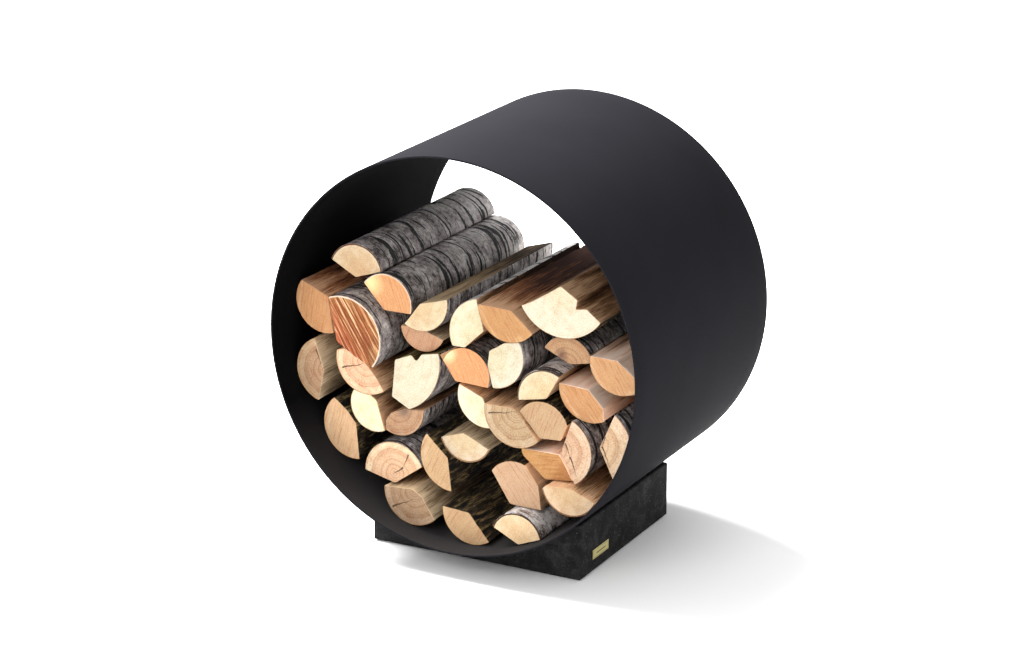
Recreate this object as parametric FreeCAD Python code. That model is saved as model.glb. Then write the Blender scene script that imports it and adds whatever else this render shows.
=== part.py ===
import FreeCAD, Part
import math
import os

os.makedirs("parts", exist_ok=True)

# Firewood log rack: a rolled steel drum, open at both ends, standing in a
# saddle block, with a stack of split logs in it. Millimetres, +Z up.
# X runs across the drum, Y along its axis with the front at -Y.
# The origin is on the floor under the middle of the drum.

drumRadius = 300.0      # outside of the rolled sheet
drumWall = 3.0          # sheet thickness
drumDepth = 460.0       # front rim to back rim
drumLift = 40.0         # floor to the lowest line of the drum
rimRound = 0.6          # broken edge on both rims

baseWidth = 350.0       # across the drum
baseDepth = 300.0       # along the drum axis
baseTop = 88.0          # floor to the flat lands beside the saddle
baseChamfer = 1.5       # broken outside edges of the block
saddleGap = 0.3         # drum to saddle

padRadius = 17.0        # rubber pads let into the underside
padThick = 4.0
padProud = 2.0          # how far the pads hold the block off the floor
padInset = 32.0         # pad centre from both block sides

studRadius = 4.0        # M8 studs welded under the drum
studX = 62.0            # stud places on either side of the middle
studY = 96.0
studHoleRadius = 4.6
nutBoreRadius = 14.0    # counterbore under the block for nut and washer
nutBoreDepth = 18.0     # from the block's underside
nutAcross = 13.0        # hexagon, flat to flat
nutThick = 6.5
washerRadius = 12.0
washerThick = 2.0
threadGap = 0.15        # nut and washer to stud
studEnd = 4.0           # stud end above the floor

plateLength = 52.0      # blank brass plate on the right side of the block
plateHeight = 14.5
plateThick = 1.2
plateFront = 40.0       # block front to plate front
plateLow = 21.0         # floor to plate lower edge
plateGap = 0.15         # adhesive film

logLength = 330.0       # usual cut length of split stove logs
logGap = 0.3            # a log to whatever it leans on
pileBore = 297.0        # bore radius the log outlines below are given for

# One split log a line: name, distance behind the front rim, extra length,
# then its end outline on the front view, measured from the drum axis for a
# bore of pileBore. The first three points are the start, middle and end of
# the bark arc, the others are the corners of the split faces.
# Listed from the bottom of the drum upwards, as the stack is laid.
logTable = (
    ("log_01", 38, 4, (-132, -230), (-106, -278), (-46, -271), (-66, -238), (-84, -227)),
    ("log_02", 38, 0, (-32, -238), (-9, -284), (47, -282), (13, -241)),
    ("log_03", 32, 6, (57, -262), (96, -234), (138, -268), (100, -283)),
    ("log_04", 34, -6, (220, -191), (182, -219), (132, -184), (138, -177), (178, -175)),
    ("log_05", 50, 2, (-171, -209), (-120, -156), (-72, -188), (-119, -222)),
    ("log_06", 52, -4, (-64, -138), (-71, -191), (-22, -224), (-28, -171), (-45, -156)),
    ("log_07", 55, 5, (-228, -114), (-245, -170), (-185, -207), (-190, -150), (-206, -131)),
    ("log_08", 58, 0, (39, -173), (65, -154), (95, -155), (117, -184), (122, -222), (70, -221)),
    ("log_09", 62, -8, (36, -151), (-2, -177), (-47, -144), (-8, -131)),
    ("log_10", 48, 3, (176, -77), (208, -123), (181, -176), (158, -129)),
    ("log_11", 56, 6, (96, -151), (90, -143), (90, -136), (151, -136), (156, -142), (174, -174), (128, -179)),
    ("log_12", 50, 0, (240, -54), (267, -98), (239, -156), (216, -108)),
    ("log_13", 50, -3, (-256, -20), (-288, -70), (-251, -119), (-240, -70)),
    ("log_14", 60, 8, (-193, -93), (-189, -140), (-139, -151), (-153, -104), (-164, -96)),
    ("log_15", 62, -10, (-73, -108), (-94, -148), (-139, -149), (-139, -133), (-130, -120), (-104, -110)),
    ("log_16", 52, 4, (-218, -26), (-201, -77), (-137, -80), (-150, -60), (-168, -40), (-201, -21)),
    ("log_17", 50, -2, (32, -75), (48, -122), (121, -121), (88, -81), (79, -75)),
    ("log_18", 64, 5, (-23, -54), (-14, -102), (35, -115), (17, -70)),
    ("log_19", 54, -5, (89, -77), (136, -57), (168, -86), (157, -112), (122, -114)),
    ("log_20", 58, 6, (-47, -13), (-54, -68), (-98, -109), (-128, -93), (-122, -34), (-94, -22)),
    ("log_21", 60, 3, (151, -23), (169, -65), (224, -72), (223, -51), (199, -26)),
    ("log_22", 58, -4, (-20, -2), (24, -6), (37, -54), (-18, -52), (-44, -15)),
    ("log_23", 52, 7, (85, -63), (104, -18), (154, -16), (132, -54)),
    ("log_24", 56, 0, (86, 22), (84, -33), (42, -55), (33, -22), (36, 2), (62, 18)),
    ("log_25", 64, -6, (-276, 68), (-277, 10), (-222, -9), (-230, 48)),
    ("log_26", 46, 8, (-223, 57), (-151, 41), (-148, -43), (-178, -31), (-210, -11)),
    ("log_27", 66, 2, (-116, 18), (-93, -15), (-43, 5), (-82, 18)),
    ("log_28", 54, -3, (199, 23), (214, -18), (262, -28), (295, -18), (243, 22)),
    ("log_29", 58, 5, (124, 22), (160, 45), (198, 22), (198, 9), (165, 3)),
    ("log_30", 56, 0, (-24, 0), (-22, 50), (17, 78), (29, 30), (-3, 0)),
    ("log_31", 52, 6, (-29, 80), (-43, 37), (-102, 32), (-75, 67)),
    ("log_32", 50, 10, (20, 71), (45, 26), (110, 38), (74, 69)),
    ("log_33", 54, 26, (-174, 79), (-118, 93), (-94, 41), (-140, 41)),
    ("log_34", 44, 8, (95, 96), (163, 56), (223, 88), (200, 106), (183, 103), (186, 117), (159, 134), (112, 104)),
    ("log_35", 58, 22, (-232, 110), (-182, 139), (-144, 102), (-190, 87)),
)

boreRadius = drumRadius - drumWall
axisHeight = drumLift + drumRadius


def save(name, solids):
    # A group of like pieces is saved as one compound of separate solids.
    shape = solids[0] if len(solids) == 1 else Part.makeCompound(solids)
    shape.exportStep("parts/" + name + ".step")


def rod(radius, x, y, low, high):
    return Part.makeCylinder(radius, high - low, FreeCAD.Vector(x, y, low))


def drumCylinder(radius, depth):
    start = FreeCAD.Vector(0, -depth / 2, axisHeight)
    return Part.makeCylinder(radius, depth, start, FreeCAD.Vector(0, 1, 0))


# Drum: the rolled sheet, with both rim edges broken.
drum = drumCylinder(drumRadius, drumDepth).cut(drumCylinder(boreRadius, drumDepth + 20))
rimEdges = [e for e in drum.Edges if abs(e.BoundBox.YLength) < 1e-6]
drum = drum.makeChamfer(rimRound, rimEdges)
save("drum_shell", [drum])

# Saddle block: chamfered box, drum-shaped seat, stud holes, pad pockets.
block = Part.makeBox(baseWidth, baseDepth, baseTop - padProud,
                     FreeCAD.Vector(-baseWidth / 2, -baseDepth / 2, padProud))
block = block.makeChamfer(baseChamfer, block.Edges)
block = block.cut(drumCylinder(drumRadius + saddleGap, drumDepth + 20))
studPlaces = [(sx * studX, sy * studY) for sx in (-1, 1) for sy in (-1, 1)]
padPlaces = [(sx * (baseWidth / 2 - padInset), sy * (baseDepth / 2 - padInset))
             for sx in (-1, 1) for sy in (-1, 1)]
boreTop = padProud + nutBoreDepth
for x, y in studPlaces:
    block = block.cut(rod(studHoleRadius, x, y, -1, axisHeight))
    block = block.cut(rod(nutBoreRadius, x, y, -1, boreTop))
for x, y in padPlaces:
    block = block.cut(rod(padRadius + logGap, x, y, -1, padThick))
save("base_block", [block])

# Weld studs stand down from the drum; washers and nuts close the joint
# inside the counterbores.
seatCutter = drumCylinder(drumRadius + saddleGap, drumDepth)
studs = [rod(studRadius, x, y, studEnd, axisHeight).cut(seatCutter).Solids for x, y in studPlaces]
studs = [min(pieces, key=lambda s: s.CenterOfMass.z) for pieces in studs]
save("weld_studs", studs)

washers = []
nuts = []
for x, y in studPlaces:
    top = boreTop - logGap
    hole = rod(studRadius + threadGap, x, y, -1, axisHeight)
    washers.append(rod(washerRadius, x, y, top - washerThick, top).cut(hole))
    nutTop = top - washerThick - logGap
    corner = nutAcross / math.sqrt(3.0)
    points = [FreeCAD.Vector(x + corner * math.cos(math.radians(60 * k)),
                             y + corner * math.sin(math.radians(60 * k)), nutTop - nutThick)
              for k in range(7)]
    hexagon = Part.Face(Part.makePolygon(points)).extrude(FreeCAD.Vector(0, 0, nutThick))
    nuts.append(hexagon.cut(hole))
save("stud_washers", washers)
save("stud_nuts", nuts)

# Pads pressed into shallow pockets under the block corners.
save("foot_pads", [rod(padRadius, x, y, 0, padThick - logGap) for x, y in padPlaces])

# Blank plate stuck on the block's right side.
plate = Part.makeBox(plateThick, plateLength, plateHeight,
                     FreeCAD.Vector(baseWidth / 2 + plateGap, plateFront - baseDepth / 2, plateLow))
plate = plate.makeChamfer(0.3, plate.Edges)
save("name_plate", [plate])


def circleThrough(a, b, c):
    # Centre from the two perpendicular bisectors.
    d = 2 * (a[0] * (b[1] - c[1]) + b[0] * (c[1] - a[1]) + c[0] * (a[1] - b[1]))
    sa, sb, sc = (p[0] ** 2 + p[1] ** 2 for p in (a, b, c))
    x = (sa * (b[1] - c[1]) + sb * (c[1] - a[1]) + sc * (a[1] - b[1])) / d
    z = (sa * (c[0] - b[0]) + sb * (a[0] - c[0]) + sc * (b[0] - a[0])) / d
    return x, z


def outline(points, steps=14):
    # Closed polygon: the bark arc in equal steps, then the split corners.
    a, b, c = points[:3]
    x, z = circleThrough(a, b, c)
    radius = math.hypot(a[0] - x, a[1] - z)
    start, middle, end = (math.atan2(p[1] - z, p[0] - x) for p in (a, b, c))
    turn = (end - start) % (2 * math.pi)
    if (middle - start) % (2 * math.pi) > turn:
        turn -= 2 * math.pi
    arc = [(x + radius * math.cos(start + turn * k / steps),
            z + radius * math.sin(start + turn * k / steps)) for k in range(steps + 1)]
    return arc + list(points[3:])


def sides(shape):
    return list(zip(shape, shape[1:] + shape[:1]))


def rayTravel(point, direction, side):
    # How far the point goes along the direction before it meets the side.
    (ax, az), (bx, bz) = side
    ex, ez = bx - ax, bz - az
    cross = direction[0] * ez - direction[1] * ex
    if abs(cross) < 1e-9:
        return None
    px, pz = ax - point[0], az - point[1]
    along = (px * ez - pz * ex) / cross
    share = (px * direction[1] - pz * direction[0]) / cross
    return along if along > -1e-9 and -1e-9 <= share <= 1 + 1e-9 else None


def travel(shape, others, direction):
    # First contact of two polygons is always a corner of one on a side of the other.
    back = (-direction[0], -direction[1])
    best = 1e9
    for other in others:
        for point in shape:
            for side in sides(other):
                t = rayTravel(point, direction, side)
                best = best if t is None else min(best, t)
        for point in other:
            for side in sides(shape):
                t = rayTravel(point, back, side)
                best = best if t is None else min(best, t)
    return best


def moved(shape, x, z):
    return [(px + x, pz + z) for px, pz in shape]


def reach(shape):
    xs = [p[0] for p in shape]
    zs = [p[1] for p in shape]
    return min(xs), max(xs), min(zs), max(zs)


def near(shape, other, room):
    a, b = reach(shape), reach(other)
    return a[0] < b[1] + room and b[0] < a[1] + room and a[2] < b[3] + room and b[2] < a[3] + room


# Each log is pushed home along the direction that moves it least from its
# listed place, and stops logGap short of the log or sheet it meets.
pushes = [(math.sin(math.radians(a)), -math.cos(math.radians(a))) for a in (0, -30, 30, -60, 60)]
startBack = 30.0
pileScale = boreRadius / pileBore
bore = [(boreRadius * math.cos(math.radians(3 * k)), boreRadius * math.sin(math.radians(3 * k)))
        for k in range(120)]
laid = []
for entry in logTable:
    name, setback, extra = entry[:3]
    shape = outline([(x * pileScale, z * pileScale) for x, z in entry[3:]])
    best = None
    for push in pushes:
        start = moved(shape, -push[0] * startBack, -push[1] * startBack)
        others = [o for o in laid if near(start, o, 45)] + [bore]
        t = travel(start, others, push) - logGap
        if best is None or abs(t - startBack) < abs(best[0]):
            best = (t - startBack, push)
    shift, push = best
    shape = moved(shape, push[0] * shift, push[1] * shift)
    laid.append(shape)
    front = -drumDepth / 2 + setback
    corners = [FreeCAD.Vector(x, front, axisHeight + z) for x, z in shape]
    arc = Part.Arc(corners[0], corners[7], corners[14]).toShape()
    rest = corners[14:] + corners[:1]
    lines = [Part.makeLine(p, q) for p, q in zip(rest, rest[1:])]
    face = Part.Face(Part.Wire([arc] + lines))
    solid = face.extrude(FreeCAD.Vector(0, logLength + extra, 0))
    save(name, [solid])
    print(name, "moved %.1f" % shift, "push %.2f %.2f" % push)
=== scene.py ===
import math
import bpy
import numpy as np
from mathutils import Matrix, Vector


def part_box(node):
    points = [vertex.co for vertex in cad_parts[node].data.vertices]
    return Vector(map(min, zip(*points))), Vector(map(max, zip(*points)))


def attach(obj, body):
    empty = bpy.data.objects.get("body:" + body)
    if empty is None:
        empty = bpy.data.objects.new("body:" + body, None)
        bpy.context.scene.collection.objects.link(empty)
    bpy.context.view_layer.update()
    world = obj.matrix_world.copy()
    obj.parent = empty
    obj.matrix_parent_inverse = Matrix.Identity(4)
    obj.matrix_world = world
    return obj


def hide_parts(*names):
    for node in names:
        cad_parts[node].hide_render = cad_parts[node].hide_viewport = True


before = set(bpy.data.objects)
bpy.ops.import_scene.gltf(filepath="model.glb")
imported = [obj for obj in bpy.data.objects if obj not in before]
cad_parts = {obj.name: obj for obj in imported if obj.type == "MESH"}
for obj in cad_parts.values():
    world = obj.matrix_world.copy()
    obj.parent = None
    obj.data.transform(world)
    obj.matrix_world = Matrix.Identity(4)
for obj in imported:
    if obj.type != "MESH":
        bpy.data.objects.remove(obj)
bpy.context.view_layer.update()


axisHeight = (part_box("drum_shell")[0][2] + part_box("drum_shell")[1][2]) / 2


def linear(colour):
    # sRGB hex to linear RGBA
    parts = [int(colour[i:i + 2], 16) / 255 for i in (1, 3, 5)]
    return tuple(p / 12.92 if p <= 0.04045 else ((p + 0.055) / 1.055) ** 2.4 for p in parts) + (1.0,)


def put(tree, value, socket):
    # a value is a number, a colour in hex, an output, or a node, which stands for its first live output
    if isinstance(value, bpy.types.Node):
        value = next(output for output in value.outputs if output.enabled)
    if isinstance(value, bpy.types.NodeSocket):
        tree.links.new(value, socket)
    else:
        socket.default_value = linear(value) if isinstance(value, str) else value


def add(tree, kind, inputs=(), stops=(), **settings):
    # one node with its settings and links; inputs are in order or by name, stops are for a ramp
    node = tree.nodes.new("ShaderNode" + kind)
    for key, value in settings.items():
        setattr(node, key, value)
    live = [socket for socket in node.inputs if socket.enabled]
    for key, value in inputs.items() if isinstance(inputs, dict) else enumerate(inputs):
        put(tree, value, live[key] if isinstance(key, int) else node.inputs[key])
    for number, (place, colour) in enumerate(stops):
        marks = node.color_ramp.elements
        mark = marks[number] if number < 2 else marks.new(place)
        mark.position, mark.color = place, linear(colour)
    return node


def over(tree, value, level, gain):
    # how far a value is over a level, times gain, kept within 0 to 1
    rest = add(tree, "Math", (value, level), operation="SUBTRACT", use_clamp=True)
    return add(tree, "Math", (rest, gain), operation="MULTIPLY", use_clamp=True)


def below(tree, value, level, gain):
    # how far a value is below a level, times gain, kept within 0 to 1
    rest = add(tree, "Math", (level, value), operation="SUBTRACT", use_clamp=True)
    return add(tree, "Math", (rest, gain), operation="MULTIPLY", use_clamp=True)


def newMaterial(name, roughness, **constants):
    # what is the same all over goes on the shader's own sockets
    material = bpy.data.materials.new(name)
    material.use_nodes = True
    shader = material.node_tree.nodes["Principled BSDF"]
    shader.inputs["Roughness"].default_value = roughness
    for key, value in constants.items():
        shader.inputs[key.replace("_", " ")].default_value = value
    return material, material.node_tree, shader


def dress(tree, shader, colour, height=None, depth=0.0):
    # the colour, and a relief whose depth in metres is that of a height of 1
    put(tree, colour, shader.inputs["Base Color"])
    if height:
        relief = add(tree, "Bump", {"Height": height, "Distance": depth, "Strength": 1.0})
        put(tree, relief, shader.inputs["Normal"])


def objectPoints(tree, scale=(1, 1, 1)):
    place = add(tree, "TexCoord").outputs["Object"]
    return add(tree, "Mapping", {"Vector": place, "Scale": scale})


def surfacePoints(tree, scale=(1, 1, 1), turn=0.0, shift=(0, 0, 0)):
    # the piece's own map, in metres: round and along on the sides, across the section on the ends
    place = add(tree, "UVMap", uv_map="woodMap")
    return add(tree, "Mapping", {"Vector": place, "Scale": scale, "Rotation": (0, 0, turn),
                                 "Location": shift})


def perMetre(size):
    # how many clouds, specks or lines of a size in mm fit in a metre, which is what a noise wants
    return 1000 / size


# Drum: mild steel sheet, rolled and powder coated: matt dark grey with a faint orange peel.
# The inside is the same coat painted darker as shade, with painted light at the bottom that fades out
# up the wall.
drumLook = {"colour": "#18181B", "light": "#1E1D21", "roughness": 0.66, "gloss": 0.010,
            "inside": "#0A0A0B", "paintedLightBottom": "#383636", "insideRoughness": 0.9, "paintedLightTop": 0.23,
            "paintedLightFade": 0.20, "cloud": 111.1, "peel": 1.8, "wall": 0.003, "edge": 0.0009,
            "segments": 400, "rings": 11, "edgeSteps": 5}  # cloud and peel in mm, the rest in metres


def powderCoat(name, dark, light, roughness, gloss, paintedLightInside=False):
    material, tree, shader = newMaterial(name, roughness, Specular_IOR_Level=gloss)
    points = objectPoints(tree)
    cloud = add(tree, "TexNoise", {"Vector": points, "Scale": perMetre(drumLook["cloud"]),
                                   "Detail": 4.0})
    colour = add(tree, "Mix", (cloud, dark, light), data_type="RGBA")
    if paintedLightInside:
        # painted light: lighter at the lowest point, fading out up the wall to about a third of the
        # height, over the darker painted shade
        height = add(tree, "SeparateXYZ", {"Vector": points}).outputs["Z"]
        fade = drumLook["paintedLightFade"]
        thin = add(tree, "Math", (height, -1 / fade, drumLook["paintedLightTop"] / fade),
                   operation="MULTIPLY_ADD", use_clamp=True)
        patchy = add(tree, "Math", (cloud, 0.4, 0.7), operation="MULTIPLY_ADD")
        share = add(tree, "Math", (thin, patchy), operation="MULTIPLY")
        colour = add(tree, "Mix", (share, dark, light), data_type="RGBA")
    # orange peel, shallower on the inside
    peel = add(tree, "TexNoise", {"Vector": points, "Scale": perMetre(drumLook["peel"]), "Detail": 1.0})
    dress(tree, shader, colour, peel, 0.00002 if paintedLightInside else 0.00005)
    return material


# Block: honed dark stone or cast concrete, cloudy with fine pits. Pattern sizes are in mm.
stoneLook = {"dark": "#131313", "middle": "#1E1E1E", "light": "#383838", "fleckColour": "#6A6A68",
             "cloud": 30.0, "grit": 2.2, "fleck": 3.0, "roughness": 0.75}


def darkStone():
    material, tree, shader = newMaterial("honedDarkStone", stoneLook["roughness"],
                                         Specular_IOR_Level=0.04)
    points = objectPoints(tree)
    cloud = add(tree, "TexNoise", {"Vector": points, "Scale": perMetre(stoneLook["cloud"]),
                                   "Detail": 6.0, "Roughness": 0.62, "Distortion": 0.6})
    grit = add(tree, "TexNoise", {"Vector": points, "Scale": perMetre(stoneLook["grit"]), "Detail": 4.0,
                                  "Roughness": 0.7})
    both = add(tree, "Math", (grit, 0.45, add(tree, "Math", (cloud, 0.55), operation="MULTIPLY")),
               operation="MULTIPLY_ADD")
    colour = add(tree, "ValToRGB", (both,), [(0.36, stoneLook["dark"]), (0.50, stoneLook["middle"]),
                                             (0.68, stoneLook["light"])])
    fleck = add(tree, "TexNoise", {"Vector": points, "Scale": perMetre(stoneLook["fleck"]),
                                   "Detail": 2.0, "Roughness": 0.5})
    fleck = over(tree, fleck, 0.67, 14.0)
    colour = add(tree, "Mix", (add(tree, "Math", (fleck, 0.6), operation="MULTIPLY"), colour,
                               stoneLook["fleckColour"]), data_type="RGBA")
    dress(tree, shader, colour, grit, 0.00025)
    return material


# Plate: brass sheet, brushed along its length, pale from a clear lacquer.
plateLook = {"pale": "#E2D79C", "deep": "#CFC27C", "cut": "#5C5228", "roughness": 0.38,
             "brushLength": 16.67, "brushLines": 30, "borderIn": 0.0016, "borderHalf": 0.0003,
             "barHalfLength": 0.015, "barHalfHeight": 0.0011}


def brushedBrass():
    material, tree, shader = newMaterial("brushedBrass", plateLook["roughness"], Metallic=1.0)
    # brush lines are 30 times as long as wide, about half a millimetre
    lines = add(tree, "TexNoise", {"Vector": objectPoints(tree, (1, 1, plateLook["brushLines"])),
                                   "Scale": perMetre(plateLook["brushLength"]), "Detail": 2.0})
    colour = add(tree, "Mix", (lines, plateLook["pale"], plateLook["deep"]), data_type="RGBA")
    # engraved border a little in from the edge, and one plain bar where a name would be
    low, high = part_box("name_plate")
    spot = add(tree, "SeparateXYZ", {"Vector": objectPoints(tree)})
    fromMiddle, toEdge = [], []
    for axis, k in (("Y", 1), ("Z", 2)):
        gone = add(tree, "Math", (spot.outputs[axis], (low[k] + high[k]) / 2), operation="SUBTRACT")
        fromMiddle.append(add(tree, "Math", (gone,), operation="ABSOLUTE"))
        toEdge.append(add(tree, "Math", ((high[k] - low[k]) / 2, fromMiddle[-1]), operation="SUBTRACT"))
    fromBorder = add(tree, "Math", (add(tree, "Math", toEdge, operation="MINIMUM"),
                                    plateLook["borderIn"]), operation="SUBTRACT")
    border = add(tree, "Math", (add(tree, "Math", (fromBorder,), operation="ABSOLUTE"),
                                plateLook["borderHalf"]), operation="LESS_THAN")
    inLength = add(tree, "Math", (fromMiddle[0], plateLook["barHalfLength"]), operation="LESS_THAN")
    inHeight = add(tree, "Math", (fromMiddle[1], plateLook["barHalfHeight"]), operation="LESS_THAN")
    bar = add(tree, "Math", (inLength, inHeight), operation="MULTIPLY")
    cut = add(tree, "Math", (border, bar), operation="MAXIMUM")
    colour = add(tree, "Mix", (add(tree, "Math", (cut, 0.75), operation="MULTIPLY"), colour,
                               plateLook["cut"]), data_type="RGBA")
    dress(tree, shader, colour, add(tree, "Math", (cut, -4.0, lines), operation="MULTIPLY_ADD"),
          0.00004)
    return material


# Hidden fixings: bright zinc on steel, with the faint cloud of plating.
def zincPlate():
    material, tree, shader = newMaterial("zincPlatedSteel", 0.36, Metallic=1.0)
    cloud = add(tree, "TexNoise", {"Vector": objectPoints(tree), "Scale": perMetre(6.25),
                                   "Detail": 3.0})
    dress(tree, shader, add(tree, "Mix", (cloud, "#A9ABAE", "#BEC0C2"), data_type="RGBA"))
    return material


# Pads: moulded black rubber, matt.
def mouldedRubber():
    material, tree, shader = newMaterial("mouldedRubber", 0.85)
    cloud = add(tree, "TexNoise", {"Vector": objectPoints(tree), "Scale": perMetre(3.333),
                                   "Detail": 2.0})
    dress(tree, shader, add(tree, "Mix", (cloud, "#131313", "#1B1B1B"), data_type="RGBA"))
    return material


# Sawn ends. Each kind: the heart's radius, and how strong its rings, rays, specks and saw lines are.
endKinds = {
    "speckled": {"heartSize": 0.030, "rings": 0.10, "rays": 0.08, "specks": 0.26, "blotch": 0.16,
                 "saw": 0.08, "streak": 0.3},
    "ringed": {"heartSize": 0.045, "rings": 0.52, "rays": 0.40, "specks": 0.30, "blotch": 0.16,
               "saw": 0.08, "streak": 0.3},
    "grained": {"heartSize": 0.055, "rings": 0.10, "rays": 0.10, "specks": 0.22, "blotch": 0.10,
                "saw": 0.50, "streak": 2.6},
}
# pattern sizes in mm, the rays in thousandths of a radian
endPatterns = {"sway": 38.46, "blotch": 18.18, "grainLine": 11.76, "ring": 2.381, "ray": 29.41,
               "speck": 1.923, "sawLine": 3.333, "resinLine": 3.704}
# the crack tone is painted shade inside the drying cracks
endTones = {"blotch": "#D9A877", "ring": "#B98455", "ray": "#A87448", "speck": "#B07D50",
            "saw": "#C07A48", "crackShade": "#2E1C10", "innerBark": "#8A6440"}


def sawnEnd(name, look):
    # End grain: rings about the pith 2 to 3 mm apart, fine rays from it, torn specks of
    # about 2 mm, faint saw lines, drying cracks darkened as painted shade, and a thin line of inner
    # bark.
    kind = endKinds[look["end"]]
    wood, heart = look["wood"], look["heart"]
    material, tree, shader = newMaterial("sawnEnd_" + name, 0.74, Specular_IOR_Level=0.3)
    points = surfacePoints(tree)
    wavy = add(tree, "TexNoise", {"Vector": points, "Scale": perMetre(endPatterns["sway"]),
                                  "Detail": 2.0})
    radius = add(tree, "VectorMath", {0: points}, operation="LENGTH").outputs["Value"]
    radius = add(tree, "Math", (wavy, 0.010, radius), operation="MULTIPLY_ADD")
    blotch = add(tree, "TexNoise", {"Vector": points, "Scale": perMetre(endPatterns["blotch"]),
                                    "Detail": 3.0, "Roughness": 0.6})
    fade = 0.022  # metres from heart colour to wood colour
    inward = add(tree, "Math", (radius, 1 / fade, -kind["heartSize"] / fade), operation="MULTIPLY_ADD")
    # grain or saw lines at one slope, nearly straight
    grain = math.radians(-look.get("grain", 70))
    slope = add(tree, "SeparateXYZ", {"Vector": surfacePoints(tree, (1, 1, 1), grain)})
    bent = add(tree, "Math", (wavy, 0.006, slope.outputs["Y"]), operation="MULTIPLY_ADD")
    run = add(tree, "CombineXYZ",
              {"X": add(tree, "Math", (slope.outputs["X"], 0.07), operation="MULTIPLY"), "Y": bent})
    streak = add(tree, "TexNoise", {"Vector": run, "Scale": perMetre(endPatterns["grainLine"]),
                                    "Detail": 4.0, "Roughness": 0.6})
    streak = add(tree, "Math", (streak, 0.5), operation="SUBTRACT")
    inward = add(tree, "Math", (blotch, 1.6, add(tree, "Math", (inward, 0.6), operation="SUBTRACT")),
                 operation="MULTIPLY_ADD")
    inward = add(tree, "Math", (streak, kind["streak"] * 2, inward), operation="MULTIPLY_ADD",
                 use_clamp=True)
    colour = add(tree, "Mix", (inward, heart, wood), data_type="RGBA")
    # blotches of lighter and darker wood
    patch = below(tree, blotch, 0.56, 7 * kind["blotch"])
    colour = add(tree, "Mix", (patch, colour, endTones["blotch"]), data_type="RGBA",
                 blend_type="MULTIPLY")
    # rings of uneven spacing: noise read along the radius only
    along = add(tree, "CombineXYZ",
                {"X": radius, "Y": add(tree, "Math", (wavy, 0.002), operation="MULTIPLY")})
    rings = add(tree, "TexNoise", {"Vector": along, "Scale": perMetre(endPatterns["ring"]),
                                   "Detail": 2.0, "Roughness": 0.6})
    ringDark = over(tree, rings, 0.47, 6 * kind["rings"])
    colour = add(tree, "Mix", (ringDark, colour, endTones["ring"]), data_type="RGBA",
                 blend_type="MULTIPLY")
    # rays: noise read round the angle
    turned = add(tree, "SeparateXYZ", {"Vector": surfacePoints(tree, (1, 1, 1), -look["middleAngle"])})
    angle = add(tree, "Math", (turned.outputs["Y"], turned.outputs["X"]), operation="ARCTAN2")
    fan = add(tree, "CombineXYZ",
              {"X": angle, "Y": add(tree, "Math", (radius, 5.0), operation="MULTIPLY")})
    rays = add(tree, "TexNoise", {"Vector": fan, "Scale": perMetre(endPatterns["ray"]), "Detail": 3.0,
                                  "Roughness": 0.6})
    rayDark = over(tree, rays, 0.54, 9 * kind["rays"])
    colour = add(tree, "Mix", (rayDark, colour, endTones["ray"]), data_type="RGBA",
                 blend_type="MULTIPLY")
    # torn specks, dark and light
    fine = add(tree, "TexNoise", {"Vector": points, "Scale": perMetre(endPatterns["speck"]),
                                  "Detail": 4.0, "Roughness": 0.75})
    speck = below(tree, fine, 0.54, 7 * kind["specks"])
    colour = add(tree, "Mix", (speck, colour, endTones["speck"]), data_type="RGBA",
                 blend_type="MULTIPLY")
    bright = over(tree, fine, 0.56, 5 * kind["specks"])
    colour = add(tree, "Mix", (bright, colour, wood), data_type="RGBA", blend_type="SCREEN")
    height = add(tree, "Math", (rings, 0.25, fine), operation="MULTIPLY_ADD")
    lines = add(tree, "TexNoise", {"Vector": run, "Scale": perMetre(endPatterns["sawLine"]),
                                   "Detail": 5.0, "Roughness": 0.75})
    lineDark = over(tree, lines, 0.50, 7 * kind["saw"])
    colour = add(tree, "Mix", (lineDark, colour, endTones["saw"]), data_type="RGBA",
                 blend_type="MULTIPLY")
    if "resin" in look:
        # resin-soaked heart on one side, with torn lines of dark resin and pale wood
        resin = look["resin"]
        side = add(tree, "Math", (slope.outputs["Y"], resin["fade"], resin["place"]),
                   operation="MULTIPLY_ADD", use_clamp=True)
        colour = add(tree, "Mix", (side, colour, resin["red"]), data_type="RGBA")
        slight = add(tree, "Math", (wavy, 0.002, slope.outputs["Y"]), operation="MULTIPLY_ADD")
        straight = add(tree, "CombineXYZ",
                       {"X": add(tree, "Math", (slope.outputs["X"], 0.035), operation="MULTIPLY"),
                        "Y": slight})
        broad = add(tree, "TexNoise", {"Vector": straight, "Scale": perMetre(endPatterns["resinLine"]),
                                       "Detail": 4.0, "Roughness": 0.65})
        dark = over(tree, broad, 0.52, 14.0)
        pale = below(tree, broad, 0.46, 12.0)
        colour = add(tree, "Mix", (add(tree, "Math", (pale, 0.42), operation="MULTIPLY"), colour,
                                   resin["pale"]), data_type="RGBA")
        colour = add(tree, "Mix", (add(tree, "Math", (dark, 0.62), operation="MULTIPLY"), colour,
                                   resin["dark"]), data_type="RGBA")
        height = add(tree, "Math", (dark, -2.0, height), operation="MULTIPLY_ADD")
    for x0, z0, x1, z1, width in look.get("cracks", ()):
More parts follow.
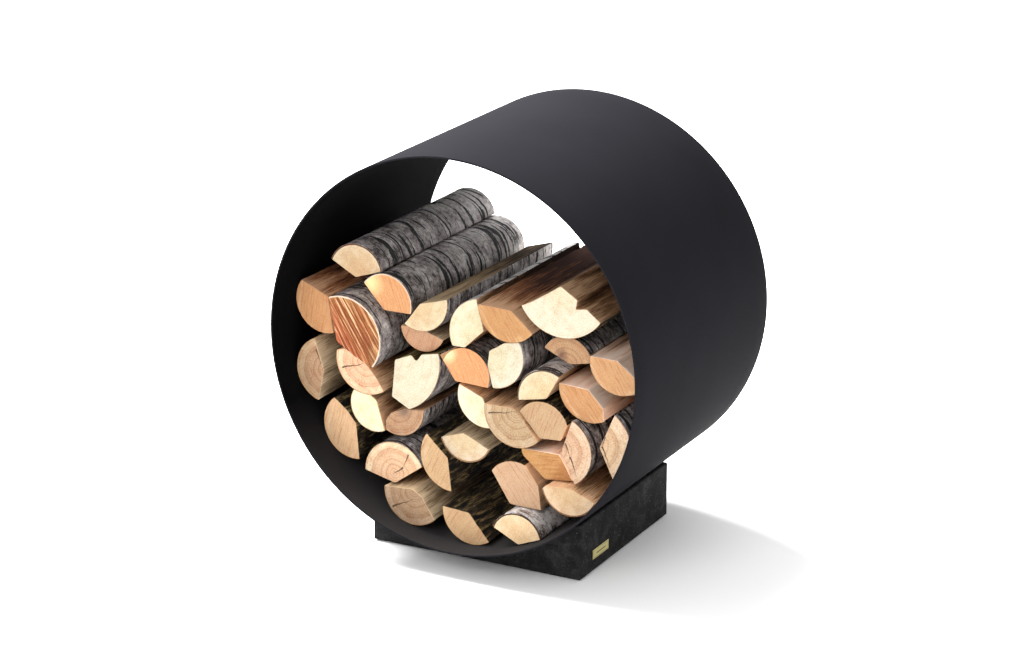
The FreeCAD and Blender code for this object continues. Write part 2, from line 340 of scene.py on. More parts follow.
        # crack: a wavy dark band of painted shade along the line from one point to another, narrowing
        # as it goes
        length = math.hypot(x1 - x0, z1 - z0) / 1000
        turn = math.atan2(z1 - z0, x1 - x0)
        sx, sz = x0 / 1000 - look["pith"][0], z0 / 1000 - look["pith"][1]
        cx, cz = math.cos(turn), math.sin(turn)
        lined = surfacePoints(tree, (1, 1, 1), -turn, (-(sx * cx + sz * cz), sx * cz - sz * cx, 0))
        part = add(tree, "SeparateXYZ", {"Vector": lined})
        sway = add(tree, "TexNoise", {"Vector": lined, "Scale": perMetre(endPatterns["blotch"]),
                                      "Detail": 3.0})
        sway = add(tree, "Math", (sway, 0.007, -0.0035), operation="MULTIPLY_ADD")
        off = add(tree, "Math", (add(tree, "Math", (part.outputs["Y"], sway), operation="ADD"),),
                  operation="ABSOLUTE")
        way = add(tree, "Math", (part.outputs["X"], length), operation="DIVIDE")
        inside = add(tree, "Math", (add(tree, "Math", (way, 0.0), operation="GREATER_THAN"),
                                    add(tree, "Math", (way, 1.0), operation="LESS_THAN")),
                     operation="MULTIPLY")
        reach = add(tree, "Math", (add(tree, "Math", (1.15, way), operation="SUBTRACT"), width / 1000),
                    operation="MULTIPLY")
        dark = add(tree, "Math", (add(tree, "Math", (off, reach), operation="LESS_THAN"), inside),
                   operation="MULTIPLY")
        colour = add(tree, "Mix", (add(tree, "Math", (dark, 0.85), operation="MULTIPLY"), colour,
                                   endTones["crackShade"]), data_type="RGBA")
        height = add(tree, "Math", (dark, -3.0, height), operation="MULTIPLY_ADD")
    for x, z, size, tone, strength in look.get("spots", ()):
        # soft patch of another colour: a knot, a pale tip, a stain
        shift = (look["pith"][0] - x / 1000, look["pith"][1] - z / 1000, 0)
        spot = surfacePoints(tree, (1, 1, 1), 0.0, shift)
        reach = add(tree, "VectorMath", {0: spot}, operation="LENGTH").outputs["Value"]
        reach = add(tree, "Math", (wavy, size / 1500, reach), operation="MULTIPLY_ADD")
        inSpot = add(tree, "Math", (1.35, add(tree, "Math", (reach, size / 1000), operation="DIVIDE")),
                     operation="SUBTRACT", use_clamp=True)
        colour = add(tree, "Mix", (add(tree, "Math", (inSpot, strength), operation="MULTIPLY"), colour,
                                   tone), data_type="RGBA")
    inner = add(tree, "Attribute", attribute_name="underBark", attribute_type="GEOMETRY").outputs["Fac"]
    edge = add(tree, "Math", (add(tree, "Math", (fine, 0.0016, inner), operation="MULTIPLY_ADD"),
                              look.get("barkLine", 0.0014) + 0.0008), operation="LESS_THAN")
    colour = add(tree, "Mix", (edge, colour, look.get("barkColour", endTones["innerBark"])),
                 data_type="RGBA")
    dress(tree, shader, colour, height, 0.0006)
    return material


# pattern sizes in mm
birchPatterns = {"skew": 62.5, "fringe": 5.2632, "band": 12.5, "thinBand": 5.8824, "pore": 2.38095,
                 "cloud": 8.3333, "broad": 41.667}


def birchBark(name, pale, mid, brown, band, bandShare):
    # Peeling birch bark: cloudy grey or white with torn dark cross bands and short dark pores.
    material, tree, shader = newMaterial(name, 0.7, Specular_IOR_Level=0.3)
    points = surfacePoints(tree)
    skew = add(tree, "TexNoise", {"Vector": points, "Scale": perMetre(birchPatterns["skew"]),
                                  "Detail": 3.0})
    parts = add(tree, "SeparateXYZ", {"Vector": points})
    along = add(tree, "Math", (skew, 0.020, parts.outputs["Y"]), operation="MULTIPLY_ADD")
    fringe = add(tree, "TexNoise", {"Vector": points, "Scale": perMetre(birchPatterns["fringe"]),
                                    "Detail": 5.0, "Roughness": 0.75})
    bands = add(tree, "CombineXYZ",
                {"X": add(tree, "Math", (parts.outputs["X"], 0.09), operation="MULTIPLY"), "Y": along})
    line = add(tree, "TexNoise", {"Vector": bands, "Scale": perMetre(birchPatterns["band"]),
                                  "Detail": 3.0, "Roughness": 0.55})
    line = add(tree, "Math", (fringe, 0.17, line), operation="MULTIPLY_ADD")
    dark = over(tree, line, bandShare + 0.09, 34.0)
    thin = add(tree, "TexNoise", {"Vector": bands, "Scale": perMetre(birchPatterns["thinBand"]),
                                  "Detail": 2.0, "Roughness": 0.5})
    thin = over(tree, add(tree, "Math", (fringe, 0.10, thin), operation="MULTIPLY_ADD"), 0.665, 30.0)
    lip = over(tree, line, bandShare + 0.05, 24.0)
    pores = add(tree, "CombineXYZ",
                {"X": add(tree, "Math", (parts.outputs["X"], 0.45), operation="MULTIPLY"),
                 "Y": parts.outputs["Y"]})
    pore = add(tree, "TexNoise", {"Vector": pores, "Scale": perMetre(birchPatterns["pore"]),
                                  "Detail": 3.0, "Roughness": 0.6})
    poreDark = over(tree, pore, 0.62, 12.0)
    cloud = add(tree, "TexNoise", {"Vector": points, "Scale": perMetre(birchPatterns["cloud"]),
                                   "Detail": 8.0, "Roughness": 0.85})
    broad = add(tree, "TexNoise", {"Vector": points, "Scale": perMetre(birchPatterns["broad"]),
                                   "Detail": 3.0, "Roughness": 0.6})
    cloud = add(tree, "Math", (broad, 0.42, add(tree, "Math", (cloud, 0.65), operation="MULTIPLY")),
                operation="MULTIPLY_ADD")
    back = add(tree, "Attribute", attribute_name="wayBack", attribute_type="GEOMETRY").outputs["Fac"]
    # painted light: paler towards the back, where light falls in from above
    cloud = add(tree, "Math", (back, 0.115, add(tree, "Math", (cloud, 0.032), operation="SUBTRACT")),
                operation="MULTIPLY_ADD")
    colour = add(tree, "ValToRGB", (cloud,), [(0.40, band), (0.465, brown), (0.53, mid), (0.66, pale)])
    colour = add(tree, "Mix", (add(tree, "Math", (poreDark, 0.6), operation="MULTIPLY"), colour, band),
                 data_type="RGBA")
    colour = add(tree, "Mix", (add(tree, "Math", (lip, 0.22), operation="MULTIPLY"), colour, pale),
                 data_type="RGBA")  # curled lip beside each band
    colour = add(tree, "Mix", (add(tree, "Math", (thin, 0.80), operation="MULTIPLY"), colour, band),
                 data_type="RGBA")
    colour = add(tree, "Mix", (add(tree, "Math", (dark, 0.96), operation="MULTIPLY"), colour, band),
                 data_type="RGBA")
    height = add(tree, "Math", (dark, -0.9, add(tree, "Math", (cloud, 1.2), operation="MULTIPLY")),
                 operation="MULTIPLY_ADD")
    dress(tree, shader, colour, add(tree, "Math", (lip, 0.5, height), operation="MULTIPLY_ADD"), 0.0018)
    return material


def roughBark(name, light, mid, dark):
    # Furrowed bark: ridges about 8 mm wide along the log, broken across, lighter on the ridges as a
    # painted highlight and near black down the furrows as painted shade.
    material, tree, shader = newMaterial(name, 0.9, Specular_IOR_Level=0.2)
    ridge = add(tree, "TexNoise", {"Vector": surfacePoints(tree, (1, 0.17, 1), 0.12),
                                   "Scale": perMetre(7.6923), "Detail": 6.0, "Roughness": 0.75,
                                   "Distortion": 0.7})
    # colour follows the relief: painted shade in the furrows, painted highlight on the ridge tops
    colour = add(tree, "ValToRGB", (ridge,), [(0.42, dark), (0.52, mid), (0.62, light)])
    dress(tree, shader, colour, ridge, 0.006)
    return material


def splitFace(name, light, mid, dark, fade, fibre=1.6, coarse=0.0009):
    # Split wood: long torn fibres that run with the log, raw colour with brown streaks about
    # 17 mm wide, lighter near the front end and darker towards the back as painted light and shade.
    # Fibre is in mm.
    material, tree, shader = newMaterial(name, 0.88, Specular_IOR_Level=0.10)
    fibres = add(tree, "TexNoise", {"Vector": surfacePoints(tree, (1, 0.035, 1)),
                                    "Scale": perMetre(fibre), "Detail": 4.0, "Roughness": 0.65})
    streak = add(tree, "TexNoise", {"Vector": surfacePoints(tree, (1, 0.10, 1)),
                                    "Scale": perMetre(16.667), "Detail": 4.0, "Roughness": 0.6})
    both = add(tree, "Math", (fibres, 0.5, add(tree, "Math", (streak, 0.5), operation="MULTIPLY")),
               operation="MULTIPLY_ADD")
    back = add(tree, "Attribute", attribute_name="wayBack", attribute_type="GEOMETRY").outputs["Fac"]
    back = add(tree, "Math", (back, 0.6), operation="POWER")
    # painted light and shade: lighter near the front end, darker towards the back, scaled by fade
    paintedFrontLight = add(tree, "Math", (back, -0.42 * fade, 0.17 * fade), operation="MULTIPLY_ADD")
    both = add(tree, "Math", (both, paintedFrontLight), operation="ADD")
    colour = add(tree, "ValToRGB", (both,), [(0.36, dark), (0.49, mid), (0.62, light)])
    dress(tree, shader, colour, fibres, coarse)
    return material


sideMaterials = {
    "greyBirch": birchBark("greyBirchBark", "#F4EEEB", "#9A918F", "#544B49", "#0C0A09", 0.550),
    "whiteBirch": birchBark("whiteBirchBark", "#F6F3F1", "#CFC9C7", "#8A7A70", "#1C1513", 0.56),
    "rough": roughBark("furrowedBark", "#85724A", "#3A2D1C", "#070503"),
    # pale split wood, brightened further as painted light for tops that lie in shade under other logs
    "pale": splitFace("paleSplitFacePaintedLight", "#FFE3CE", "#F2C4A6", "#9A6E52", 0.9),
    "brown": splitFace("brownSplitFace", "#CDA480", "#86603F", "#2E1C12", 0.9),
    "redBrown": splitFace("redSplitFace", "#DDAE88", "#95603E", "#34190F", 1.15),
    "fibrous": splitFace("tornSplitFace", "#9A8756", "#4A3A22", "#0B0704", 0.3, 4.6, 0.0045),
    "grey": splitFace("greySplitFace", "#D2B896", "#8E775A", "#3A2C20", 0.7),
}

# Every log: its sawn end, wood and heart colours, bark, split faces, and what is special on its end.
logLooks = {
    "log_01": {"end": "ringed", "wood": "#A18D75", "heart": "#927A60", "bark": "rough", "split": "grey",
               "cracks": [(-117, -260, -82, -242, 0.9)]},
    "log_02": {"end": "grained", "grain": 60, "wood": "#BAA17F", "heart": "#AE916D", "bark": "rough",
               "split": "rough"},
    "log_03": {"end": "speckled", "wood": "#D3BF9E", "heart": "#CAAF89", "bark": "whiteBirch",
               "split": "brown", "barkLine": 0.0030, "barkColour": "#3E2A1E"},
    "log_04": {"end": "speckled", "wood": "#C0AA8D", "heart": "#B39976", "bark": "rough",
               "split": "brown", "barkLine": 0.0030, "barkColour": "#6E4A30"},
    "log_05": {"end": "ringed", "wood": "#CDC1A2", "heart": "#C3A485", "bark": "greyBirch",
               "split": "brown",
               "cracks": [(-96, -178, -105, -200, 0.7), (-105, -200, -122, -213, 0.9)]},
    "log_06": {"end": "grained", "grain": 65, "wood": "#B79E7E", "heart": "#AB8F6B", "bark": "rough",
               "split": "rough"},
    "log_07": {"end": "grained", "grain": 75, "wood": "#CEB191", "heart": "#BF9F7B", "bark": "rough",
               "split": "rough"},
    "log_08": {"end": "grained", "grain": -50, "wood": "#B99F87", "heart": "#AF9174", "bark": "rough",
               "split": "brown"},
    "log_09": {"end": "speckled", "wood": "#BCAE97", "heart": "#B4A281", "bark": "rough",
               "split": "grey", "barkLine": 0.0032, "barkColour": "#7A5A3C"},
    "log_10": {"end": "ringed", "wood": "#C6B299", "heart": "#B99C80", "bark": "greyBirch",
               "split": "pale", "cracks": [(165, -114, 173, -134, 0.8), (173, -134, 185, -163, 0.9)]},
    "log_11": {"end": "grained", "wood": "#A87E4D", "heart": "#986A3C", "bark": "brown",
               "split": "pale", "pithAt": (205, -176), "grain": 8},
    "log_12": {"end": "ringed", "wood": "#D1BEA5", "heart": "#BFA585", "bark": "greyBirch",
               "split": "pale", "cracks": [(228, -94, 223, -110, 0.7), (223, -110, 236, -138, 0.9)]},
    "log_13": {"end": "ringed", "wood": "#AC9776", "heart": "#9F8266", "bark": "rough", "split": "grey",
               "cracks": [(-253, -38, -245, -57, 0.9), (-245, -57, -233, -66, 0.9)]},
    "log_14": {"end": "speckled", "wood": "#CFCEB2", "heart": "#CBC9A5", "bark": "rough",
               "split": "brown"},
    "log_15": {"end": "ringed", "wood": "#AC977D", "heart": "#9D7E61", "bark": "greyBirch",
               "split": "brown", "spots": [(-111, -114, 17, "#4E3E3A", 0.85)]},
    "log_16": {"end": "ringed", "wood": "#D1B899", "heart": "#C5A284", "bark": "rough",
               "split": "brown", "cracks": [(-209, -60, -169, -47, 0.9)]},
    # log_17's second crack line, along its right edge, is a painted shadow of the gap beside log_19
    "log_17": {"end": "ringed", "wood": "#AF9D82", "heart": "#9F8A6B", "bark": "rough",
               "split": "brown", "cracks": [(39, -90, 86, -80, 0.7), (86, -79, 121, -117, 1.5)]},
    "log_18": {"end": "speckled", "wood": "#C9C6AC", "heart": "#C6C1A2", "bark": "rough",
               "split": "brown"},
    "log_19": {"end": "grained", "wood": "#AE9B7C", "heart": "#A48969", "bark": "rough",
               "split": "brown"},
    "log_20": {"end": "speckled", "wood": "#B5B29C", "heart": "#B2AC95", "bark": "greyBirch",
               "split": "fibrous", "notches": [(-85, 8.0, 11.0)]},
    "log_21": {"end": "grained", "grain": -50, "wood": "#BB9C77", "heart": "#AC8157", "bark": "rough",
               "split": "pale"},
    "log_22": {"end": "grained", "grain": -62, "wood": "#CBAA8F", "heart": "#BD865A",
               "bark": "greyBirch", "split": "brown", "spots": [(-36, -12, 20, "#F6E4B0", 0.75)]},
    "log_23": {"end": "speckled", "wood": "#BAB093", "heart": "#B5A582", "bark": "whiteBirch",
               "split": "brown", "barkLine": 0.0028, "barkColour": "#4A3624"},
    "log_24": {"end": "speckled", "wood": "#B9B5A2", "heart": "#B3AD92", "bark": "greyBirch",
               "split": "brown"},
    "log_25": {"end": "grained", "grain": 82, "wood": "#C39E79", "heart": "#AF8258", "bark": "rough",
               "split": "redBrown"},
    "log_26": {"end": "grained", "wood": "#9D7145", "heart": "#8B4E24", "bark": "greyBirch",
               "split": "redBrown", "grain": -58,
               "resin": {"fade": -28.0, "place": 0.5, "red": "#9A4A2A", "pale": "#F2D2A0",
                         "dark": "#5A2814"},
               "barkLine": 0.003, "barkColour": "#CDB09A"},
    "log_27": {"end": "grained", "wood": "#B6957D", "heart": "#9F7B5F", "bark": "rough",
               "split": "grey"},
    "log_28": {"end": "grained", "grain": -55, "wood": "#BD9F7F", "heart": "#AF875E", "bark": "rough",
               "split": "pale"},
    "log_29": {"end": "ringed", "wood": "#AF9476", "heart": "#9D7E5D", "bark": "greyBirch",
               "split": "brown", "spots": [(153, 14, 13, "#4E3226", 0.85)]},
    "log_30": {"end": "speckled", "wood": "#BAB79D", "heart": "#B5AE90", "bark": "whiteBirch",
               "split": "brown"},
    "log_31": {"end": "speckled", "wood": "#B4A78A", "heart": "#AF9B78", "bark": "greyBirch",
               "split": "grey"},
    "log_32": {"end": "grained", "grain": -55, "wood": "#B39369", "heart": "#A37A4E", "bark": "rough",
               "split": "redBrown"},
    "log_33": {"end": "grained", "grain": -70, "wood": "#BF9F7E", "heart": "#B28358",
               "bark": "greyBirch", "split": "brown", "spots": [(-160, 78, 24, "#F6DCA0", 0.5)],
               "barkLine": 0.0022, "barkColour": "#B9A08A"},
    "log_34": {"end": "speckled", "wood": "#BCB7A3", "heart": "#B8B197", "bark": "rough",
               "split": "brown"},
    "log_35": {"end": "speckled", "wood": "#B3A488", "heart": "#A88E6C", "bark": "greyBirch",
               "split": "brown", "barkLine": 0.0032, "barkColour": "#4A2E1E"},
}
logForm = {"step": 0.0022, "rings": 60, "capRings": 9, "roundEnd": 0.0006, "roundWidth": 0.0018,
           "calmEnd": 0.010, "sawDepth": 0.0004, "barkDepth": 0.0014, "roughDepth": 0.0034,
           "splitDepth": 0.0024, "endInsets": (0, 0.0006, 0.0018), "firstRing": 0.006,
           "sharpAngle": 48}


def endOutline(node):
    # (x, z) corners of a log's front end, in order, from the CAD node's own mesh
    mesh = node.data
    points = np.empty(len(mesh.vertices) * 3)
    mesh.vertices.foreach_get("co", points)
    points = points.reshape(-1, 3)
    front = points[points[:, 1] < points[:, 1].min() + 1e-5][:, (0, 2)]
    front = np.unique(np.round(front, 6), axis=0)
    middle = front.mean(0)
    order = np.argsort(np.arctan2(front[:, 1] - middle[1], front[:, 0] - middle[0]))
    return front[order], points[:, 1].min(), points[:, 1].max()


def barkRun(corners):
    # the bark arc is the longest run of sides of one length that turn evenly
    sides = np.roll(corners, -1, 0) - corners
    length = np.hypot(*sides.T)
    heading = np.arctan2(sides[:, 1], sides[:, 0])
    turn = np.abs((np.roll(heading, -1) - heading + math.pi) % (2 * math.pi) - math.pi)
    same = (np.abs(np.roll(length, -1) - length) < 0.06 * length) & (turn < math.radians(32))
    count = len(corners)
    best = (0, 0)
    for start in range(count):
        run = 0
        while run < count - 1 and same[(start + run) % count]:
            run += 1
        if run > best[0]:
            best = (run, start)
    bark = np.zeros(count, bool)
    bark[[(best[1] + k) % count for k in range(best[0] + 1)]] = best[0] > 0
    return bark


def circleOf(points):
    # least squares circle: x2 + z2 = 2 cx x + 2 cz z + k
    system = np.column_stack([2 * points, np.ones(len(points))])
    cx, cz, k = np.linalg.lstsq(system, (points ** 2).sum(1), rcond=None)[0]
    return np.array([cx, cz]), math.sqrt(k + cx * cx + cz * cz)


def waves(rng, around, along, amounts):
    # sum of sines with random phases: (amount, waves a metre round, waves a metre along)
    total = np.zeros(np.broadcast(around, along).shape)
    for amount, perRound, perAlong in amounts:
        for _ in range(3):
            f = perRound * rng.uniform(0.7, 1.3)
            g = perAlong * rng.uniform(-1.3, 1.3)
            total += amount / 3 * np.sin(2 * math.pi * (f * around + g * along) + rng.uniform(0, 6.28))
    return total


def makeLog(name, look, number):
    # Section outline carried along the log; each point is pushed in along its own
    # normal by a depth of (way round, way along), and the ends are rings shrunk to a centre.
    rng = np.random.default_rng(100 + number)
    corners, front, back = endOutline(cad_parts[name])
    bark = barkRun(corners)
    following = np.roll(corners, -1, 0)
    points, isBark = [], []
    for a, b, k in zip(corners, following, bark):
        count = max(1, int(round(np.hypot(*(b - a)) / logForm["step"])))
        share = np.arange(count)[:, None] / count
        points.append(a + (b - a) * share)
        isBark += [k] * count
    points = np.vstack(points)
    isBark = np.array(isBark)
    pith, arcRadius = circleOf(np.vstack([corners[bark], following[bark]]))
    if "pithAt" in look:
        # split all round, so the pith is out of the piece
        pith, arcRadius = np.array(look["pithAt"]) / 1000 + (0, axisHeight), 1.0
        isBark[:] = False
    middle = points.mean(0)
    look["pith"] = (pith[0], pith[1] - axisHeight)  # the looks are in mm from the drum's axis
    look["middleAngle"] = math.atan2(middle[1] - pith[1], middle[0] - pith[0])
    for x, wide, deep in look.get("notches", ()):
        # notch in the top edge
        push = np.clip(1 - np.abs(points[:, 0] - x / 1000) / (wide / 1000), 0, 1) * deep / 1000
        points[:, 1] -= push * (points[:, 1] > middle[1] + 0.012)
    points = points * 0.5 + (np.roll(points, 1, 0) + np.roll(points, -1, 0)) * 0.25
    tangent = np.roll(points, -1, 0) - np.roll(points, 1, 0)
    tangent /= np.hypot(*tangent.T)[:, None]
    outward = np.column_stack([tangent[:, 1], -tangent[:, 0]])
    step = np.hypot(*(np.roll(points, -1, 0) - points).T)
    around = np.concatenate([[0], np.cumsum(step)])
    s = around[:-1, None]
    inset, first = np.array(logForm["endInsets"]), logForm["firstRing"]
    between = np.linspace(front + first, back - first, logForm["rings"])
    y = np.concatenate([front + inset, between, back - inset[::-1]])
    t = y[None, :]
    barkShape = waves(rng, s, t, [(0.4, 14, 5), (0.25, 40, 22), (0.35, 5, 70)])
    if look["bark"] == "rough":
        ridges = np.abs(waves(rng, s, t, [(0.7, 75, 10), (0.5, 130, 26)]))
        barkShape = ridges * 1.6 - 1 + 0.3 * barkShape
        barkDepth = logForm["roughDepth"]
    else:
        barkDepth = logForm["barkDepth"]
    splitShape = waves(rng, s, t, [(0.45, 22, 1.5), (0.35, 60, 3.0), (0.3, 150, 6.0)])
    soft = isBark.astype(float)
    for _ in range(3):
        soft = soft * 0.5 + (np.roll(soft, 1) + np.roll(soft, -1)) * 0.25
    splitDepth = logForm["splitDepth"]
    if look["split"] == "rough":
        splitShape, splitDepth = barkShape, logForm["roughDepth"]
    depth = (soft[:, None] * barkDepth * (0.5 + 0.5 * np.clip(barkShape, -1, 1))
             + (1 - soft[:, None]) * splitDepth * (0.5 + 0.5 * np.clip(splitShape, -1, 1)))
    # the relief calms down towards the sawn ends, and their edges are worn round
    fromEnd = np.minimum(t - front, back - t)
    depth = depth * (0.25 + 0.75 * np.clip(fromEnd / logForm["calmEnd"], 0, 1))
    depth = depth + logForm["roundEnd"] * np.clip(1 - fromEnd / logForm["roundWidth"], 0, 1) ** 2
    ringsXZ = points[:, None, :] - outward[:, None, :] * depth[:, :, None]
    n, m = depth.shape
    side = np.stack([ringsXZ[:, :, 0], np.broadcast_to(t, (n, m)), ringsXZ[:, :, 1]], 2)
    centre = points.mean(0)
    caps = []
    capRings = logForm["capRings"]
    shares = np.linspace(1, 0, capRings + 1)[1:-1]
    for end, sign in ((0, 1), (m - 1, -1)):
        rim = side[:, end]
        middle = np.array([centre[0], rim[0, 1], centre[1]])
        grid = middle + (rim[:, None, :] - middle) * shares[None, :, None]
        saw = waves(rng, grid[:, :, 0], grid[:, :, 2], [(0.6, 12, 12), (0.4, 50, 30)])
        inFromRim = np.clip((1 - shares) * 6, 0, 1)[None, :]
        grid[:, :, 1] += sign * logForm["sawDepth"] * (1 + saw) * inFromRim
        caps.append((grid, middle + np.array([0, sign * logForm["sawDepth"], 0])))
    verts = np.vstack([side.reshape(-1, 3), caps[0][0].reshape(-1, 3), caps[1][0].reshape(-1, 3),
                       caps[0][1][None], caps[1][1][None]])
    index = np.arange(n)
    after = (index + 1) % n
    sideIds = np.arange(n * m).reshape(n, m)
    here, there = sideIds[index], sideIds[after]
    quads = np.stack([here[:, :-1], here[:, 1:], there[:, 1:], there[:, :-1]], 2)
    faces = [quads.reshape(-1, 4)]
    kinds = [np.repeat(np.where(isBark, 0, 1), m - 1)]
    start = n * m
    tris = []
    k = len(shares)
    for end, flip in ((0, False), (m - 1, True)):
        ids = np.arange(n * k).reshape(n, k) + start
        start += n * k
        grid = np.column_stack([sideIds[:, end], ids])
        here, there = grid[index], grid[after]
        ring = np.stack([here[:, :-1], there[:, :-1], there[:, 1:], here[:, 1:]], 2)
        hub = np.full(n, n * m + 2 * n * k + (1 if flip else 0))
        fan = np.stack([grid[index][:, -1], grid[after][:, -1], hub], 1)
        faces.append((ring[:, :, ::-1] if flip else ring).reshape(-1, 4))
        kinds.append(np.full(n * k, 2))
        tris.append(fan[:, ::-1] if flip else fan)
    quads = np.vstack(faces)
    tris = np.vstack(tris)
    kinds = np.concatenate(kinds + [np.full(len(tris), 2)])
    mesh = bpy.data.meshes.new(name + "_wood")
    mesh.from_pydata(verts.tolist(), [], quads.tolist() + tris.tolist())
    mesh.polygons.foreach_set("material_index", kinds.astype(np.int32))
    mesh.polygons.foreach_set("use_smooth", np.ones(len(kinds), bool))
    # map: way round and along on the sides, place from the pith on the ends
    loops = np.concatenate([quads.ravel(), tris.ravel()])
    owner = np.concatenate([np.repeat(kinds[:len(quads)], 4), np.repeat(kinds[len(quads):], 3)])
    column = loops // m
    sideMap = np.column_stack([around[np.minimum(column, n - 1)], verts[loops, 1] - front])
    # the last column of faces closes the loop, so its far corners are all the way round
    sideLoops = np.arange(n * (m - 1) * 4).reshape(-1, 4)
    closing = sideLoops[(n - 1) * (m - 1):][:, 2:].ravel()
    sideMap[closing, 0] = around[-1]
    endMap = verts[loops][:, (0, 2)] - pith
    uv = np.where((owner == 2)[:, None], endMap, sideMap + np.array([number * 0.71, number * 0.37]))
    layer = mesh.uv_layers.new(name="woodMap")
    layer.data.foreach_set("uv", uv.astype(np.float32).ravel())
    underBark = mesh.attributes.new("underBark", "FLOAT", "POINT")
    depthIn = arcRadius - np.hypot(verts[:, 0] - pith[0], verts[:, 2] - pith[1])
    underBark.data.foreach_set("value", depthIn.astype(np.float32))
    wayBack = mesh.attributes.new("wayBack", "FLOAT", "POINT")
    wayBack.data.foreach_set("value", ((verts[:, 1] - front) / (back - front)).astype(np.float32))
    mesh.update()
    mesh.set_sharp_from_angle(angle=math.radians(logForm["sharpAngle"]))
    piece = bpy.data.objects.new(name + "_wood", mesh)
    bpy.context.scene.collection.objects.link(piece)
    for material in (sideMaterials[look["bark"]], sideMaterials[look["split"]], sawnEnd(name, look)):
        mesh.materials.append(material)
    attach(piece, name)
    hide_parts(name)


def makeDrum():
    # A rounded rectangle profile (radius, y) turned about the drum's axis.
    low, high = (np.array(corner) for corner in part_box("drum_shell"))
    outer = (high[2] - low[2]) / 2
    wall, edge, rings = drumLook["wall"], drumLook["edge"], drumLook["rings"]
    quarter = np.linspace(0, math.pi / 2, drumLook["edgeSteps"])
    # each rim corner: its centre (radius, y) and the angle where its rounding starts
    roundings = ((outer - edge, low[1] + edge, -math.pi / 2),
                 (outer - edge, high[1] - edge, 0),
                 (outer - wall + edge, high[1] - edge, math.pi / 2),
                 (outer - wall + edge, low[1] + edge, math.pi))
    corner = [np.column_stack([centreR + edge * np.cos(start + quarter),
                               centreY + edge * np.sin(start + quarter)])
              for centreR, centreY, start in roundings]
    # long straight walls get extra rings so that they stay even
    backwards = np.linspace(low[1] + edge, high[1] - edge, rings + 2)[1:-1]
    forwards = np.linspace(high[1] - edge, low[1] + edge, rings + 2)[1:-1]
    outside = np.column_stack([np.full(rings, outer), backwards])
    inside = np.column_stack([np.full(rings, outer - wall), forwards])
    profile = np.vstack([corner[0], outside, corner[1], corner[2], inside, corner[3]])
    angle = np.linspace(0, 2 * math.pi, drumLook["segments"], endpoint=False)[:, None]
    n, m = len(angle), len(profile)
    radius, y = profile[None, :, 0], np.broadcast_to(profile[None, :, 1], (n, m))
    verts = np.stack([radius * np.cos(angle), y, axisHeight + radius * np.sin(angle)], 2)
    ids = np.arange(n * m).reshape(n, m)
    beside, across = np.roll(ids, -1, 1), np.roll(ids, -1, 0)
    quads = np.stack([ids, beside, np.roll(beside, -1, 0), across], 2).reshape(-1, 4)
    mesh = bpy.data.meshes.new("drum_sheet")
    mesh.from_pydata(verts.reshape(-1, 3).tolist(), [], quads.tolist())
    mesh.polygons.foreach_set("use_smooth", np.ones(len(quads), bool))
    meanRadius = (profile[:, 0] + np.roll(profile[:, 0], -1)) / 2
    isInside = np.tile(meanRadius < outer - wall + edge * 0.2, n)
    mesh.polygons.foreach_set("material_index", isInside.astype(np.int32))
    mesh.update()
    piece = bpy.data.objects.new("drum_sheet", mesh)
    bpy.context.scene.collection.objects.link(piece)
    mesh.materials.append(powderCoat("powderCoatedSteel", drumLook["colour"], drumLook["light"],
                                     drumLook["roughness"], drumLook["gloss"]))
    # inside of the drum: a darker coat as painted shade, lighter towards the bottom as painted light
    mesh.materials.append(powderCoat("powderCoatPaintedLightInside", drumLook["inside"], drumLook["paintedLightBottom"],
                                     drumLook["insideRoughness"], drumLook["gloss"], True))
    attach(piece, "rack")
    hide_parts("drum_shell")


def paint(node, material):
    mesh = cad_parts[node].data
    mesh.materials.clear()
    mesh.materials.append(material)


makeDrum()
print("drum done")
zinc = zincPlate()
for node, material in (("base_block", darkStone()), ("name_plate", brushedBrass()),
                       ("foot_pads", mouldedRubber()), ("weld_studs", zinc),
                       ("stud_washers", zinc), ("stud_nuts", zinc)):
    paint(node, material)
print("block, plate and fixings done")
for number, (name, look) in enumerate(logLooks.items()):
    makeLog(name, look, number)
print("logs done:", len(logLooks))

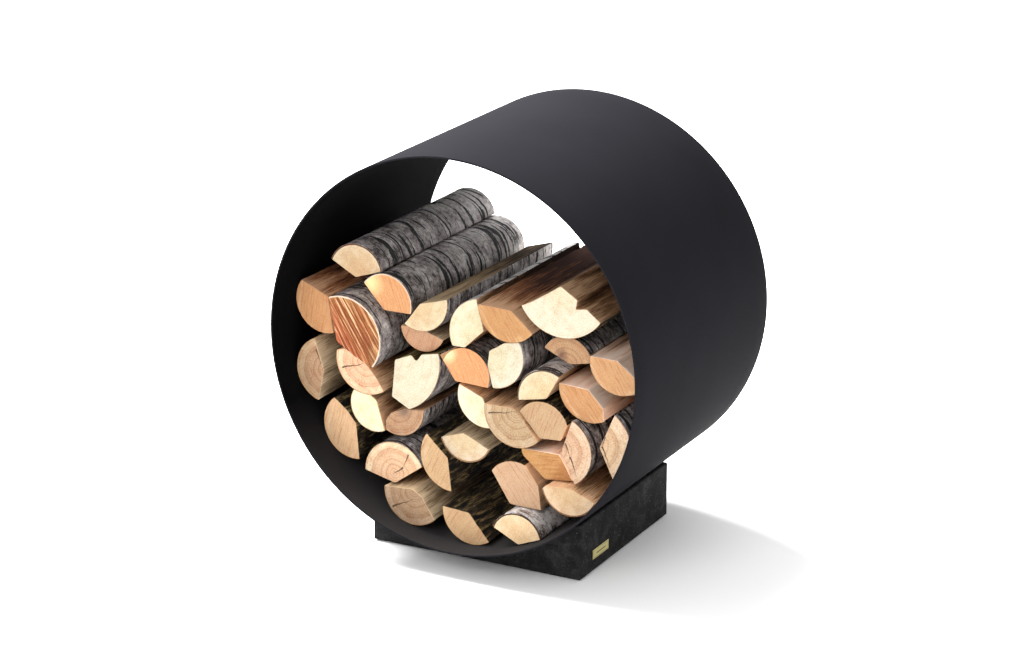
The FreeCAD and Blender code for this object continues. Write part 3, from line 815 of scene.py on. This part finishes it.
# Floor, lights and camera
studio = {"floor": "#FAFAFA", "floorHalf": 30.0, "world": 1.07,
          "azimuth": 27.868, "elevation": 17.962, "distance": 4.502, "lens": 105.27,
          "target": (-0.01724, 0.0, 0.3267)}
studioLights = {
    "key": {"place": (0.1, -3.5, 2.3), "target": (0, 0, 0.3), "size": (2.2, 1.6), "power": 64.0},
    "top": {"place": (-1.5, 0.4, 2.6), "target": (0, 0, 0.4), "size": (2.4, 1.6), "power": 420.0},
}


def makeFloor():
    half = studio["floorHalf"]
    mesh = bpy.data.meshes.new("studio_floor")
    corners = [(-half, -half, 0), (half, -half, 0), (half, half, 0), (-half, half, 0)]
    mesh.from_pydata(corners, [], [(0, 1, 2, 3)])
    material, tree, shader = newMaterial("paintedStudioFloor", 0.9)
    shader.inputs["Base Color"].default_value = linear(studio["floor"])
    mesh.materials.append(material)
    floor = bpy.data.objects.new("studio_floor", mesh)
    bpy.context.scene.collection.objects.link(floor)


def softLight(name, place, target, size, power):
    light = bpy.data.lights.new(name, "AREA")
    light.shape = "RECTANGLE"
    light.size, light.size_y = size
    light.energy = power
    lamp = bpy.data.objects.new(name, light)
    lamp.location = place
    lamp.rotation_euler = (Vector(target) - Vector(place)).to_track_quat("-Z", "Y").to_euler()
    bpy.context.scene.collection.objects.link(lamp)


def makeStudio():
    makeFloor()
    world = bpy.data.worlds.new("studio")
    bpy.context.scene.world = world
    world.use_nodes = True
    sky = world.node_tree.nodes["Background"]
    sky.inputs["Color"].default_value = (1, 1, 1, 1)
    sky.inputs["Strength"].default_value = studio["world"]
    for name, lamp in studioLights.items():
        softLight(name, **lamp)
    bpy.context.scene.view_settings.view_transform = "Standard"
    az, el = math.radians(studio["azimuth"]), math.radians(studio["elevation"])
    away = Vector((math.sin(az) * math.cos(el), -math.cos(az) * math.cos(el), math.sin(el)))
    camera = bpy.data.objects.new("camera", bpy.data.cameras.new("camera"))
    camera.data.lens = studio["lens"]
    camera.data.sensor_width = 36.0
    camera.location = Vector(studio["target"]) + away * studio["distance"]
    camera.rotation_euler = (-away).to_track_quat("-Z", "Y").to_euler()
    bpy.context.scene.collection.objects.link(camera)
    bpy.context.scene.camera = camera


makeStudio()
print("studio done")
